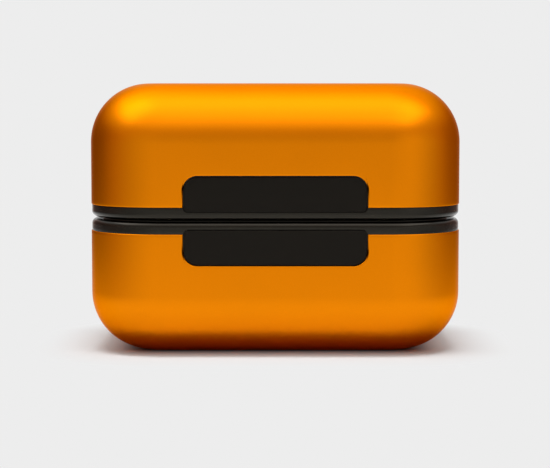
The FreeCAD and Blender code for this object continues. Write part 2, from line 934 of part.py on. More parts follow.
def build_units():
    """Builds every sub-part of both units and returns the objects, each with its Label and Placement."""
    made = []
    for unit in ("lower", "upper"):
        for subpart in SUBPARTS:
            piece = subpart(f"{unit}_{subpart.__name__}")
            piece.Label = f"{unit}_{subpart.__name__}"
            if unit == "upper":
                half_turn = FreeCAD.Rotation(FreeCAD.Vector(0, 1, 0), 180)
                piece.Placement = FreeCAD.Placement(FreeCAD.Vector(0, 0, 2 * height.value), half_turn)
                piece.setExpression("Placement.Base.z", "2 * Sizes.unit_height")
            made.append(piece)
    document.recompute()
    return made


def check_and_write(pieces):
    """Stops on a failed feature or an unsound shape, then writes one STEP file for each sub-part."""
    failed = [item.Name for item in document.Objects if {"Invalid", "Error"} & set(item.State)]
    if failed:
        raise RuntimeError(f"these objects failed: {failed}")
    for piece in pieces:
        if piece.Shape.isNull() or not piece.Shape.isValid() or not piece.Shape.Solids:
            raise RuntimeError(f"{piece.Label} has no sound shape")
    os.makedirs("parts", exist_ok=True)
    for piece in pieces:
        piece.Shape.exportStep(f"parts/{piece.Label}.step")
        print(piece.Label, len(piece.Shape.Solids), "solid(s)", round(piece.Shape.Volume, 2), "mm3")


check_and_write(build_units())
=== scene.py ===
"""Looks of a pair of rechargeable hand warmers, held face to face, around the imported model.

Lengths are metres in the model's frame: +Z up, +X along the long side, the name plates face -Y and the
charging ports +Y. Every piece is worked out as it lies in the lower unit. The upper unit is the same unit
turned half a turn about the front-to-back axis.
"""

import json
import logging
import math
from dataclasses import dataclass
from enum import Enum
from typing import Any, Callable, ClassVar

import bmesh
import bpy
import numpy as np
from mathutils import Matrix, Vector
from mathutils.geometry import tessellate_polygon


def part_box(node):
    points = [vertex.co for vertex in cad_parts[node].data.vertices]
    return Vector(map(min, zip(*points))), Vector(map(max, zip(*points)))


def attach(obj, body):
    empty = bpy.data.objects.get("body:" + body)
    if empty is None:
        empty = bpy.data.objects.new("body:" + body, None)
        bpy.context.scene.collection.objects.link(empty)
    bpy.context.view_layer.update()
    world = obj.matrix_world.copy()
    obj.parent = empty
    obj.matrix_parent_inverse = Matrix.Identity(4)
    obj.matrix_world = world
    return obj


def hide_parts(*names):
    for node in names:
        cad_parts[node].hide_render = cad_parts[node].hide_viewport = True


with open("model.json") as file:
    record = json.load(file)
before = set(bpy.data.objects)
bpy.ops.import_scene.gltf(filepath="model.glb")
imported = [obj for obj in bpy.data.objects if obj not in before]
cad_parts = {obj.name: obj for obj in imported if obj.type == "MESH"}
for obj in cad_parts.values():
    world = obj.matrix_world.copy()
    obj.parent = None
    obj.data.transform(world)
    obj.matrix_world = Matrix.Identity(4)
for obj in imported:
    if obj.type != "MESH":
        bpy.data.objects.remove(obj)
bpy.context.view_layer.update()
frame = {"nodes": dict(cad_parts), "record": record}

Array = np.ndarray
Colour = tuple[float, float, float]
Span = tuple[float, float]
Row = tuple[Array, Array, Array]
Profile = list[Span | Array]
Socket = bpy.types.NodeSocket
MM = 0.001
QUARTER_TURN = math.pi / 2
WHITE = (1.0, 1.0, 1.0)
log = logging.getLogger("hand_warmers")


# Mesh tools -------------------------------------------------------------------------------------------


def arc(start: float, end: float, steps: int) -> Array:
    """Angles from start to end in quarter turns, both ends included."""
    return np.linspace(start, end, steps + 1) * QUARTER_TURN


def directions(angle: Array) -> Array:
    """Unit vectors at angles from the first axis, as (n, 2)."""
    return np.stack([np.cos(angle), np.sin(angle)], axis=-1)


def rounded(radius: float, steps: int, quarters: int = 1) -> Array:
    """A round edge from wall to face: in by radius times 1 - cosine, and down by it times 1 - sine."""
    return radius * (1 - directions(arc(0, quarters, steps))) * (1.0, -1.0)


@dataclass(frozen=True)
class Outline:
    """A rectangle with round corners in plan, walked counter-clockwise from the middle of its front."""

    half_x: float
    half_y: float
    radius: float

    @property
    def straight(self) -> float:
        """Length of the walk from the middle of the front to the first corner's arc."""
        return self.half_x - self.radius

    @property
    def quarter(self) -> float:
        """Length of the walk from the middle of the front to the middle of the right side."""
        return self.straight + self.radius * QUARTER_TURN + self.half_y - self.radius

    def walk(self, along: Array) -> tuple[Array, Array]:
        """Places and outward normals on the outline.

        A quarter of the walk is a straight run, a quarter circle and a straight run. The other three are
        its mirror images.

        Args:
            along: distances from the middle of the front.

        Returns:
            The places and the unit normals, each as (..., xy).
        """
        turn, rest = np.divmod(along, self.quarter)
        turn = turn.astype(int) % 4
        rest = np.where(turn % 2 == 1, self.quarter - rest, rest)
        angle = np.clip((rest - self.straight) / self.radius, 0.0, QUARTER_TURN)
        past = np.maximum(rest - self.straight - self.radius * QUARTER_TURN, 0.0)
        x = np.minimum(rest, self.straight) + self.radius * np.sin(angle)
        y = self.radius - self.half_y - self.radius * np.cos(angle) + past
        side = np.where(turn < 2, 1.0, -1.0)
        front = np.where((turn == 0) | (turn == 3), 1.0, -1.0)
        places = np.stack([side * x, front * y], axis=-1)
        return places, np.stack([side * np.sin(angle), -front * np.cos(angle)], axis=-1)


@dataclass(frozen=True)
class Loop:
    """A closed line in a plane, as places and outward normals, each (n, 2)."""

    places: Array
    normals: Array

    END_FLAT: ClassVar[float] = 0.05 * MM

    def moved(self, out: float) -> Array:
        """The places moved outward by out."""
        return self.places + out * self.normals

    @classmethod
    def circle(cls, middle: Span, radius: float, count: int) -> "Loop":
        """A circle of count points."""
        normals = directions(np.linspace(0.0, 2 * math.pi, count, endpoint=False))
        return cls(np.array(middle) + radius * normals, normals)

    @classmethod
    def pill(cls, middle: Span, half: Span, steps: int) -> "Loop":
        """A slot whose ends are half circles but for END_FLAT on each side of their middles."""
        return cls.box(middle, half, (half[1] - cls.END_FLAT,) * 2, steps)

    @classmethod
    def box(cls, middle: Span, half: Span, radii: Span, steps: int) -> "Loop":
        """A rectangle with round corners, counter-clockwise from the lower right one.

        Each corner is a quarter circle of steps + 1 points about its own centre, and each side between
        two corners gets evenly spaced points.

        Args:
            middle: its middle.
            half: half its width and half its height.
            radii: radius of the two lower corners and of the two upper ones.
            steps: how many steps a corner has, and each side too.

        Returns:
            The loop.
        """
        corners, turned = [], []
        sides = [(1, -1, radii[0]), (1, 1, radii[1]), (-1, 1, radii[1]), (-1, -1, radii[0])]
        for index, (right, up, radius) in enumerate(sides):
            centre = np.array(middle) + (np.array(half) - radius) * (right, up)
            turned.append(directions(arc(index - 1, index, steps)))
            corners.append(centre + radius * turned[-1])
        places, normals = [], []
        share = np.linspace(0.0, 1.0, steps + 1)[1:-1, None]
        for index, (corner, normal) in enumerate(zip(corners, turned)):
            side = corner[-1] * (1 - share) + corners[(index + 1) % 4][0] * share
            places += [corner, side]
            normals += [normal, np.repeat(normal[-1:], len(side), axis=0)]
        return cls(np.concatenate(places), np.concatenate(normals))


class Surface:
    """Grids of points in the lower unit that are welded into one closed mesh."""

    WELD: ClassVar[float] = 2e-6
    SLIVER: ClassVar[float] = WELD / 10
    SHARP: ClassVar[float] = math.radians(32)
    CAP_SHARES: ClassVar[tuple[float, ...]] = (0.0, 0.04, 0.3, 0.65, 1.0)

    def __init__(self) -> None:
        """Starts with no points."""
        self._points: list[Array] = []
        self._faces: list[list[int]] = []
        self._count = 0

    def add(self, points: Array) -> None:
        """Adds the quads between the rows of a grid, whose last column joins the first one.

        Args:
            points: places as (row, column, xyz).
        """
        rows, columns, _ = points.shape
        index = self._count + np.arange(rows * columns).reshape(rows, columns)
        ahead = np.roll(index, -1, axis=1)
        quads = np.stack([index[:-1], ahead[:-1], ahead[1:], index[1:]], axis=-1)
        self._keep(points.reshape(-1, 3), quads.reshape(-1, 4).tolist())

    def add_cap(self, ring: Array, shares: tuple[float, ...] = CAP_SHARES) -> None:
        """Adds a flat face: a ring drawn in towards the middle of its box.

        Args:
            ring: places as (column, xyz).
            shares: how much of the way in each row goes, up to 1.
        """
        middle = ring.mean(axis=0)
        middle[:2] = (ring.max(axis=0)[:2] + ring.min(axis=0)[:2]) / 2
        self.add(ring[None] + np.array(shares)[:, None, None] * (middle - ring)[None])

    def add_solid(self, points: Array, shares: tuple[float, ...] = CAP_SHARES) -> None:
        """Adds a grid and a flat face at each of its ends.

        Args:
            points: places as (row, column, xyz).
            shares: how much of the way in the flat faces' rows go.
        """
        self.add(points)
        self.add_cap(points[0], shares)
        self.add_cap(points[-1], shares)

    def add_face(self, loops: list[Array], level: Callable[[Array], Array]) -> None:
        """Adds a flat face between an outer loop and the holes in it, cut into triangles.

        Args:
            loops: the outer loop first, each (n, 2).
            level: turns flat places (n, 2) into places in the unit (n, 3).
        """
        flat = [[Vector((*place, 0.0)) for place in loop] for loop in loops]
        triangles = [list(triangle) for triangle in tessellate_polygon(flat)]
        self._keep(level(np.concatenate(loops)), (np.array(triangles) + self._count).tolist())

    def _keep(self, points: Array, faces: list[list[int]]) -> None:
        """Stores points and the faces between them.

        Args:
            points: the places, (n, 3).
            faces: their corners, counted over all of this surface's points.
        """
        self._points.append(points)
        self._faces += faces
        self._count += len(points)

    def piece(self, name: str, unit: "Unit") -> bpy.types.Object:
        """Makes the mesh object, with its place in its mesh.

        Args:
            name: the object's name, without the unit's.
            unit: the unit that it belongs to.

        Returns:
            The object, linked to the scene, with smooth faces and sharp edges.
        """
        mesh = bpy.data.meshes.new(f"{unit.name}_{name}")
        mesh.from_pydata(unit.placed(np.concatenate(self._points)), [], self._faces)
        welded = bmesh.new()
        welded.from_mesh(mesh)
        bmesh.ops.remove_doubles(welded, verts=welded.verts, dist=self.WELD)
        bmesh.ops.dissolve_degenerate(welded, edges=welded.edges, dist=self.SLIVER)
        bmesh.ops.recalc_face_normals(welded, faces=welded.faces)
        welded.to_mesh(mesh)
        welded.free()
        mesh.shade_smooth()
        mesh.set_sharp_from_angle(angle=self.SHARP)
        if len(mesh.loops) != 2 * len(mesh.edges):
            log.warning("%s isn't closed", mesh.name)
        made = bpy.data.objects.new(mesh.name, mesh)
        bpy.context.scene.collection.objects.link(made)
        return made


# Shader tools -----------------------------------------------------------------------------------------


class Value:
    """A shader socket that holds a number and takes part in Python expressions."""

    def __init__(self, nodes: "Nodes", socket: Socket) -> None:
        """Wraps one output socket."""
        self.nodes = nodes
        self.socket = socket

    def __add__(self, other: "Value | float") -> "Value":
        """This value plus the other."""
        return self.nodes.math("ADD", self, other)

    def __sub__(self, other: "Value | float") -> "Value":
        """This value minus the other."""
        return self.nodes.math("SUBTRACT", self, other)

    def __rsub__(self, other: float) -> "Value":
        """The other minus this value."""
        return self.nodes.math("SUBTRACT", other, self)

    def __mul__(self, other: "Value | float") -> "Value":
        """This value times the other."""
        return self.nodes.math("MULTIPLY", self, other)

    def __truediv__(self, other: "Value | float") -> "Value":
        """This value divided by the other."""
        return self.nodes.math("DIVIDE", self, other)

    def __rtruediv__(self, other: float) -> "Value":
        """The other divided by this value."""
        return self.nodes.math("DIVIDE", other, self)

    __radd__ = __add__
    __rmul__ = __mul__

    def most(self, other: "Value | float") -> "Value":
        """The greater of this value and the other."""
        return self.nodes.math("MAXIMUM", self, other)

    def step(self, span: Span) -> "Value":
        """A smooth step from 0 at the span's first number to 1 at its second, which may be the lesser."""
        inputs = {"Value": self, "From Min": span[0], "From Max": span[1]}
        return self.nodes.value("MapRange", {"interpolation_type": "SMOOTHSTEP"}, inputs)


class Nodes:
    """Adds nodes to one node tree."""

    # places of the Mix node's sockets for colours
    MIX_FIRST: ClassVar[int] = 6
    MIX_SECOND: ClassVar[int] = 7
    MIX_RESULT: ClassVar[int] = 2

    def __init__(self, tree: bpy.types.NodeTree) -> None:
        """Empties the tree."""
        self.tree = tree
        tree.nodes.clear()

    def add(
        self, kind: str, settings: dict[str, Any] | None = None, inputs: dict[Any, Any] | None = None
    ) -> bpy.types.Node:
        """Adds one node.

        Args:
            kind: the node's type, without its ShaderNode prefix.
            settings: the node's own properties, set first. "stops" holds a ramp's (position, grey).
            inputs: numbers, colours, values, sockets or nodes by the input's name or index.

        Returns:
            The node.
        """
        node = self.tree.nodes.new(f"ShaderNode{kind}")
        for name, setting in (settings or {}).items():
            if name == "stops":
                self._set_stops(node.color_ramp, setting)
            else:
                setattr(node, name, setting)
        for name, given in (inputs or {}).items():
            if isinstance(given, Value):
                given = given.socket
            if isinstance(given, bpy.types.Node):
                given = given.outputs[0]
            if isinstance(given, Socket):
                self.tree.links.new(given, node.inputs[name])
            else:
                node.inputs[name].default_value = given
        return node

    @staticmethod
    def _set_stops(ramp: bpy.types.ColorRamp, stops: tuple[Span, ...]) -> None:
        """Gives a ramp its stops.

        Args:
            ramp: the ramp.
            stops: pairs of a position and a grey.
        """
        while len(ramp.elements) < len(stops):
            ramp.elements.new(1.0)
        for element, (position, grey) in zip(ramp.elements, stops):
            element.position = position
            element.color = (grey, grey, grey, 1.0)

    def value(
        self, kind: str, settings: dict[str, Any] | None = None, inputs: dict[Any, Any] | None = None
    ) -> Value:
        """Adds a node and wraps its first output."""
        return Value(self, self.add(kind, settings, inputs).outputs[0])

    def output(self, node: bpy.types.Node, name: str) -> Value:
        """Wraps a named output of a node."""
        return Value(self, node.outputs[name])

    def math(self, operation: str, *inputs: Value | float) -> Value:
        """Adds a Math node."""
        return self.value("Math", {"operation": operation}, dict(enumerate(inputs)))

    def vector(self, operation: str, *inputs: Any) -> bpy.types.Node:
        """Adds a Vector Math node."""
        return self.add("VectorMath", {"operation": operation}, dict(enumerate(inputs)))

    def mix(self, share: Value, first: Colour, second: Colour) -> Socket:
        """Mixes two colours and returns the colour's socket."""
        inputs = {"Factor": share, self.MIX_FIRST: (*first, 1.0), self.MIX_SECOND: (*second, 1.0)}
        return self.add("Mix", {"data_type": "RGBA"}, inputs).outputs[self.MIX_RESULT]

    def rays(self) -> tuple[Value, Value, Value]:
        """Whether a ray comes from the camera, has passed a clear piece, or was last sent on by gloss.

        Returns:
            1 or 0 for each. A ray that passed a clear piece counts as sent on by gloss too.
        """
        path = self.add("LightPath")
        camera, through = self.output(path, "Is Camera Ray"), self.output(path, "Is Transmission Ray")
        return camera, through, self.output(path, "Is Glossy Ray").most(through) * (1.0 - camera)


# Finishes ---------------------------------------------------------------------------------------------


@dataclass(frozen=True)
class Layer:
    """One texture of a relief: soft noise, or cells measured in the way that feature names.

    share is its size as a share of the grain's, weight how much it counts, and stretch how many times
    longer its marks are along X.
    """

    feature: str | None = None
    share: float = 1.0
    weight: float = 1.0
    detail: float = 2.0
    stretch: float = 1.0

    def height(self, nodes: Nodes, where: Socket, size: float) -> Value:
        """Adds the texture.

        Args:
            nodes: the material's tree.
            where: the place on the piece.
            size: the grain's size.

        Returns:
            Its weighted height.
        """
        if self.stretch != 1.0:
            inputs = {"Vector": where, "Scale": (1 / self.stretch, 1.0, 1.0)}
            where = nodes.add("Mapping", {"vector_type": "POINT"}, inputs).outputs[0]
        inputs = {"Vector": where, "Scale": 1 / (size * self.share)}
        if self.feature is not None:
            return nodes.value("TexVoronoi", {"feature": self.feature}, inputs) * self.weight
        inputs["Detail"] = self.detail
        return nodes.value("TexNoise", {"noise_dimensions": "3D"}, inputs) * self.weight


class Grain(Enum):
    """The fine relief of a finish, as the layers that add up to its height."""

    # pits peened by glass beads
    BLASTED = (Layer("SMOOTH_F1", weight=0.65), Layer(share=0.6, weight=0.5))
    # the print of a spark-eroded mould
    MOULDED = (Layer(weight=0.7, detail=3.0), Layer(share=4.0, weight=0.3, detail=1.0))
    # lines drawn or brushed along X
    BRUSHED = (Layer(stretch=20.0),)
    # a slight orange peel
    SMOOTH = (Layer(share=8.0, detail=1.0),)
    # foam cells
    CELLS = (Layer("F1"),)
    # copper tracks on a laminate
    TRACES = (Layer("DISTANCE_TO_EDGE", weight=2.5),)


@dataclass(frozen=True)
class Finish:
    """The colour, gloss and fine relief of one material.

    Colours are linear. The grain's size and depth are metres, and spread is how far its lightness and
    roughness wander over the surface. The lightness is lower in the grain's pits, which is painted shade,
    and where a slow random drift is low.
    """

    name: str
    colour: Colour
    roughness: float = 0.5
    metallic: float = 0.0
    specular: float = 0.5
    edge_tint: Colour = WHITE
    grain: Grain = Grain.MOULDED
    size: float = 0.25 * MM
    depth: float = 2e-6
    spread: float = 0.06
    second: Colour | None = None

    drift_size: ClassVar[float] = 14 * MM
    grain_share: ClassVar[float] = 0.6
    # span over which the painted shade in the grain's pits, mixed with the slow drift, fades to the full
    # colour
    pit_shade_and_drift: ClassVar[Span] = (0.25, 0.75)
    track_edge: ClassVar[Span] = (0.45, 0.55)

    def material(self) -> bpy.types.Material:
        """Builds the material. Where its grain is low it gets the second colour, or else a darker tone of
        the first, which is painted shade in the grain's pits mixed with a slow random drift.

        Returns:
            The material.
        """
        made = bpy.data.materials.new(self.name)
        made.use_nodes = True
        nodes = Nodes(made.node_tree)
        where = nodes.add("TexCoord").outputs["Object"]
        first, *others = (layer.height(nodes, where, self.size) for layer in self.grain.value)
        relief = sum(others, first)
        drift = Layer().height(nodes, where, self.drift_size)
        if self.second is None:
            # painted shade: a darker tone in the grain's pits, where the relief is low, mixed with a slow
            # random drift
            share = (relief * self.grain_share + drift * (1 - self.grain_share)).step(self.pit_shade_and_drift)
            tone = nodes.mix(share, tuple(part * (1 - 2 * self.spread) for part in self.colour), self.colour)
        else:
            tone = nodes.mix(relief.step(self.track_edge), self.second, self.colour)
        shader = nodes.add(
            "BsdfPrincipled",
            inputs={
                "Metallic": self.metallic,
                "Specular IOR Level": self.specular,
                "Specular Tint": (*self.edge_tint, 1.0),
                "Base Color": tone,
                "Roughness": self.roughness + (drift - 0.5) * self.spread + (relief - 0.5) * self.spread,
                "Normal": nodes.add("Bump", inputs={"Height": relief, "Distance": self.depth}),
            },
        )
        nodes.add("OutputMaterial", inputs={"Surface": shader})
        return made


FINISHES = {
    finish.name: finish
    for finish in (
        Finish(
            "orange_anodised", (0.88, 0.243, 0.0016), 0.34, 1.0, edge_tint=(0.88, 0.6, 0.35),
            grain=Grain.BLASTED, size=0.16 * MM, depth=1.5e-6, spread=0.03,
        ),
        Finish(
            "black_moulding", (0.0035, 0.0026, 0.0015), 0.16, specular=0.36, edge_tint=(1.0, 0.92, 0.76),
            size=0.2 * MM, depth=1.5e-6,
        ),
        Finish("black_plate", (0.0088, 0.0066, 0.0036), 0.45, specular=0.13, size=0.12 * MM, depth=1e-6),
        Finish(
            "black_face", (0.012, 0.0115, 0.01), 0.55, specular=0.3, size=0.35 * MM, depth=8e-6, spread=0.1
        ),
        Finish("button_black", (0.014, 0.013, 0.012), 0.42, specular=0.35, size=0.15 * MM, depth=1.5e-6),
        Finish("switch_plastic", (0.02, 0.02, 0.02), 0.45),
        Finish("clear_window", (0.6, 0.63, 0.65), 0.3, grain=Grain.SMOOTH, size=0.2 * MM),
        Finish("lamp_body", (0.75, 0.72, 0.6), 0.35, grain=Grain.SMOOTH),
        Finish("port_steel", (0.62, 0.61, 0.6), 0.27, 1.0, grain=Grain.BRUSHED, size=0.05 * MM, depth=1e-6),
        Finish("port_insulator", (0.01, 0.01, 0.01), size=0.1 * MM),
        Finish(
            "board_laminate", (0.006, 0.045, 0.02), 0.35, grain=Grain.TRACES, size=1.6 * MM, depth=2e-5,
            second=(0.02, 0.11, 0.045),
        ),
        Finish("chip_resin", (0.02, 0.02, 0.021), 0.55, size=0.08 * MM),
        Finish("ferrite", (0.05, 0.05, 0.052), 0.6, size=0.12 * MM, depth=6e-6),
        Finish("tray_plastic", (0.03, 0.03, 0.03), size=0.4 * MM, depth=6e-6),
        Finish(
            "battery_foil", (0.55, 0.56, 0.58), 0.32, 1.0, grain=Grain.BRUSHED, size=0.3 * MM, depth=4e-6
        ),
        Finish(
            "foam", (0.05, 0.05, 0.055), 0.9, specular=0.2, grain=Grain.CELLS, size=0.5 * MM, depth=8e-5,
            spread=0.25,
        ),
        Finish("silicone_pad", (0.25, 0.42, 0.55), 0.6, size=0.4 * MM, depth=8e-6),
        Finish("heater_aluminium", (0.8, 0.8, 0.81), 0.35, 1.0, grain=Grain.BRUSHED, size=0.15 * MM),
        Finish("sensor_resin", (0.08, 0.05, 0.03), 0.3, grain=Grain.SMOOTH),
        Finish("lead_insulation", (0.35, 0.02, 0.015), grain=Grain.SMOOTH),
        Finish("screw_steel", (0.5, 0.5, 0.51), 0.3, 1.0, grain=Grain.BRUSHED, size=0.06 * MM),
        Finish("magnet_nickel", (0.66, 0.65, 0.63), 0.18, 1.0, grain=Grain.SMOOTH),
        Finish("contact_gold", (0.83, 0.53, 0.16), 0.25, 1.0, grain=Grain.BRUSHED, size=0.05 * MM),
        Finish("printed_white", (0.5, 0.5, 0.48), 0.6, size=0.06 * MM, spread=0.1),
    )
}


class Palette:
    """Makes each finish's material once and puts it on pieces."""

    def __init__(self) -> None:
        """Starts with no material made."""
        self._made: dict[str, bpy.types.Material] = {}

    def dress(self, piece: bpy.types.Object, finish: str) -> None:
        """Gives the piece one finish all over.

        Args:
            piece: a mesh object.
            finish: the finish's name.
        """
        if finish not in self._made:
            self._made[finish] = FINISHES[finish].material()
        if piece.material_slots:
            for slot in piece.material_slots:
                slot.material = self._made[finish]
        else:
            piece.data.materials.append(self._made[finish])


# Units ------------------------------------------------------------------------------------------------


@dataclass(frozen=True)
class Unit:
    """One of the two units: its name, whether it is turned half a turn about Y, and the seam's height."""

    name: str
    turned: bool
    height: float

    def placed(self, points: Array) -> Array:
        """Moves points of the lower unit to where they lie in this one."""
        return points * (-1.0, 1.0, -1.0) + (0.0, 0.0, 2 * self.height) if self.turned else points


@dataclass(frozen=True)
class Body:
    """The outside that the pieces of a unit share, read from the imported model."""

    outline: Outline
    shell_top: float
    height: float
    plate_middle: Span
    plate_half: Span
    plate_face: float
    plate_back: float
    edge_radius: float = 12.6 * MM
    shell_wall: float = 1.2 * MM
    skirt_inset: float = 1.3 * MM
    face_inset: float = 4.5 * MM
    deck_top: float = 27.3 * MM

    plan_radius: ClassVar[float] = 16.5 * MM
    stud_length: ClassVar[float] = 1.7 * MM

    @classmethod
    def measured(cls) -> "Body":
        """Reads the shared places from the boxes of the lower unit's nodes.

        Returns:
            The body.
        """
        shell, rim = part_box("lower_shell")[1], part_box("lower_rim_frame")[1]
        low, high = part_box("lower_front_plate")
        middle, half = (0.0, (low.z + high.z) / 2), (high.x, (high.z - low.z) / 2)
        outline = Outline(shell.x, shell.y, cls.plan_radius)
        return cls(outline, shell.z, rim.z, middle, half, -low.y, -high.y + cls.stud_length)

    def grid(self, rows: list[Row]) -> Array:
        """Places on rings round the unit: on the outline, moved in against its normals, at a height.

        Args:
            rows: for each ring its distances along the outline, depths under it and heights.

        Returns:
            The places as (row, column, xyz).
        """
        along, depth, level = (np.stack(part) for part in zip(*rows))
        places, normals = self.outline.walk(along)
        return np.concatenate([places - depth[..., None] * normals, level[..., None]], axis=-1)

    def rim(self, gap: float, radius: float, side: float) -> "Rim":
        """The shell's edge round the unit, which steps round the plates' windows.

        Args:
            gap: how far the window stands off the plate.
            radius: radius of the window's round corners.
            side: -1 where it follows the plates' lower sides, and 1 where it follows their upper ones.

        Returns:
            The rim.
        """
        reach = self.plate_middle[1] + side * (self.plate_half[1] + gap)
        return Rim.around(self.outline, self.plate_half[0] + gap, radius, self.shell_top, reach)


@dataclass(frozen=True)
class Rim:
    """An edge that runs round the unit and steps round the plates' windows, column by column.

    base is where each column stands on the plain wall, along and level where it meets the edge, and
    in_along and in_level point from the edge into the material.
    """

    base: Array
    along: Array
    level: Array
    in_along: Array
    in_level: Array

    floor_points: ClassVar[int] = 19
    corner_steps: ClassVar[int] = 10
    wall_steps: ClassVar[int] = 5
    run_steps: ClassVar[int] = 6
    bend_steps: ClassVar[int] = 60

    @classmethod
    def around(cls, outline: Outline, window: float, radius: float, level: float, reach: float) -> "Rim":
        """Works out the edge.

        From the middle of the front it follows the window's far side, its round corner and its near
        side, turns the sharp corner onto the plain edge and goes on to the middle of the right side. The
        columns' feet share out the front's straight run evenly along that path. The other three quarters
        mirror the first.

        Args:
            outline: the unit's outline.
            window: half the window's width.
            radius: radius of the window's round corners.
            level: height of the plain edge.
            reach: height of the window's far side.

        Returns:
            The rim.
        """
        side = math.copysign(1.0, reach - level)
        corner = arc(0, 1, cls.corner_steps)[1:]
        floor = np.linspace(0.0, window - radius, cls.floor_points)
        walls = np.linspace(reach - side * radius, level, cls.wall_steps + 1)[1:-1]
        run = np.linspace(window, outline.straight, cls.run_steps + 1)
        bend_end = outline.quarter - outline.half_y + outline.radius
        bend = np.linspace(outline.straight, bend_end, cls.bend_steps + 1)[1:]
        end = np.linspace(bend_end, outline.quarter, cls.run_steps + 1)[1:]
        counts = (len(floor), len(walls), len(run) + len(bend) + len(end))
        far, near, plain = (np.ones(count) for count in counts)
        turned = window + radius * (np.sin(corner) - 1)
        sunk = reach + side * radius * (np.cos(corner) - 1)
        along = np.concatenate([floor, turned, near * window, run, bend, end])
        levels = np.concatenate([far * reach, sunk, walls, plain * level])
        in_along = np.concatenate([far * 0, np.sin(corner), near, plain[:1], plain[1:] * 0])
        in_level = side * np.concatenate([far, np.cos(corner), near * 0, plain])
        path = np.concatenate([[0.0], np.cumsum(np.hypot(np.diff(along), np.diff(levels)))])
        front = path[np.searchsorted(along, outline.straight)]
        base = np.where(along < outline.straight, path * outline.straight / front, along)
        base, along = (cls._spread(distances, outline.quarter) for distances in (base, along))
        return cls(base, along, cls._mirror(levels), cls._mirror(in_along, -1.0), cls._mirror(in_level))

    @staticmethod
    def _spread(along: Array, quarter: float) -> Array:
        """Repeats distances in the first quarter in the other three."""
        back = 2 * quarter - along[::-1]
        return np.concatenate([part[:-1] for part in (along, back, 2 * quarter + along, 2 * quarter + back)])

    @staticmethod
    def _mirror(values: Array, sign: float = 1.0) -> Array:
        """Repeats values in the first quarter in the other three, times sign in every second one."""
        back = sign * values[::-1]
        return np.concatenate([part[:-1] for part in (values, back, values, back)])

    def ring(self, depth: float, level: float | Array) -> Row:
        """A row at the columns' feet."""
        ones = np.ones_like(self.base)
        return self.base, depth * ones, level * ones

    def rows(self, depth: float, foot: float, inset: float, shares: tuple[float, ...]) -> list[Row]:
        """Rows from the columns' feet to the edge moved into the material.

        Args:
            depth: how deep they lie under the outline.
            foot: the feet's height.
            inset: how far the edge is moved.
            shares: how much of the way each row has gone.

        Returns:
            The rows.
        """
        along = self.along + inset * self.in_along - self.base
        height = self.level + inset * self.in_level - foot
        ones = np.ones_like(self.base)
        return [(self.base + share * along, depth * ones, foot + share * height) for share in shares]

    def broken(self, depth: float, radius: float, steps: int) -> list[Row]:
        """Rows round the rounded edge of the face at a depth.

        Args:
            depth: how deep the face lies under the outline.
            radius: the edge's radius.
            steps: how many rows it gets.

        Returns:
            The rows.
        """
        edge = rounded(radius, steps)[1:]
        return [self.rows(depth + sunk, 0.0, -height, (1.0,))[0] for sunk, height in edge]


class Facing(Enum):
    """The side that a plate faces. Its value is that side's direction along Y."""

    FRONT = -1.0
    REAR = 1.0

    def place(self, flat: Array, out: Array | float) -> Array:
        """Places as (..., xyz) of flat (..., xz) at out from the middle plane."""
        depth = np.broadcast_to(self.value * np.asarray(out), flat.shape[:-1])
        return np.stack([flat[..., 0], depth, flat[..., 1]], axis=-1)

    def sweep(self, loop: Loop, profile: Profile) -> Array:
        """Carries a profile of (inset, out) round a loop."""
        return np.stack([self.place(loop.moved(-inset), out) for inset, out in profile])


class Rides(Enum):
    """What a piece moves with."""

    UNIT = "unit"
    BUTTON = "button"


@dataclass(frozen=True)
class SubAssembly:
    """A group of pieces of one unit, with what they are worked out from and dressed by."""

    unit: Unit
    body: Body
    palette: Palette

    def join(
        self, surface: Surface, name: str, finish: str, node: str | None, rides: Rides = Rides.UNIT
    ) -> None:
        """Makes a piece of a surface, dresses it, hangs it on its body and reports it.

        Args:
            surface: its shape in the lower unit.
            name: its name, without the unit's.
            finish: its finish's name.
            node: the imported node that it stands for, if any.
            rides: what it moves with.
        """
        piece = surface.piece(name, self.unit)
        self.palette.dress(piece, finish)
        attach(piece, f"{self.unit.name}_{rides.value}")
        if node is not None:
            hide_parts(f"{self.unit.name}_{node}")
        log.info("%s: %d faces, %s", piece.name, len(piece.data.polygons), finish)


# Casing -----------------------------------------------------------------------------------------------


@dataclass(frozen=True)
class Shell(SubAssembly):
    """Drawn aluminium cap with a window in its rim for each plate."""

    window_gap: float = 0.25 * MM
    window_radius: float = 3.05 * MM
    edge_break: float = 0.2 * MM
    border: float = 0.3 * MM
    fillet_steps: int = 34
    hollow_steps: int = 12
    edge_steps: int = 5
    wall_shares: tuple[float, ...] = (0.0, 0.12, 0.3, 0.5, 0.7, 0.86, 0.96, 1.0)
    inner_shares: tuple[float, ...] = (1.0, 0.9, 0.5, 0.0)

    def build(self) -> None:
        """Makes the shell.

        Rows run from the middle of the closed face outward, up a quarter circle to the wall, up the wall
        to the rim, round the broken edge, across the sheet's thickness and back down inside. A quarter
        circle's way in is a height here, and its drop a depth under the outline.
        """
        radius, wall = self.body.edge_radius, self.body.shell_wall
        rim = self.body.rim(self.window_gap, self.window_radius, -1.0)
        foot = radius + self.border
        fillet = rounded(radius, self.fillet_steps)
        hollow = rounded(radius - wall, self.hollow_steps)[::-1] + (wall, -wall)
        rows = [rim.ring(foot, 0.0)]
        rows += [rim.ring(-height, way_in) for way_in, height in fillet]
        rows += rim.rows(0.0, foot, self.edge_break, self.wall_shares)
        rows += rim.broken(0.0, self.edge_break, self.edge_steps)
        rows += rim.rows(wall, foot, 0.0, self.inner_shares)
        rows += [rim.ring(-height, way_in) for way_in, height in hollow]
        surface = Surface()
        surface.add_solid(self.body.grid(rows))
        self.join(surface, "shell_skin", "orange_anodised", "shell")


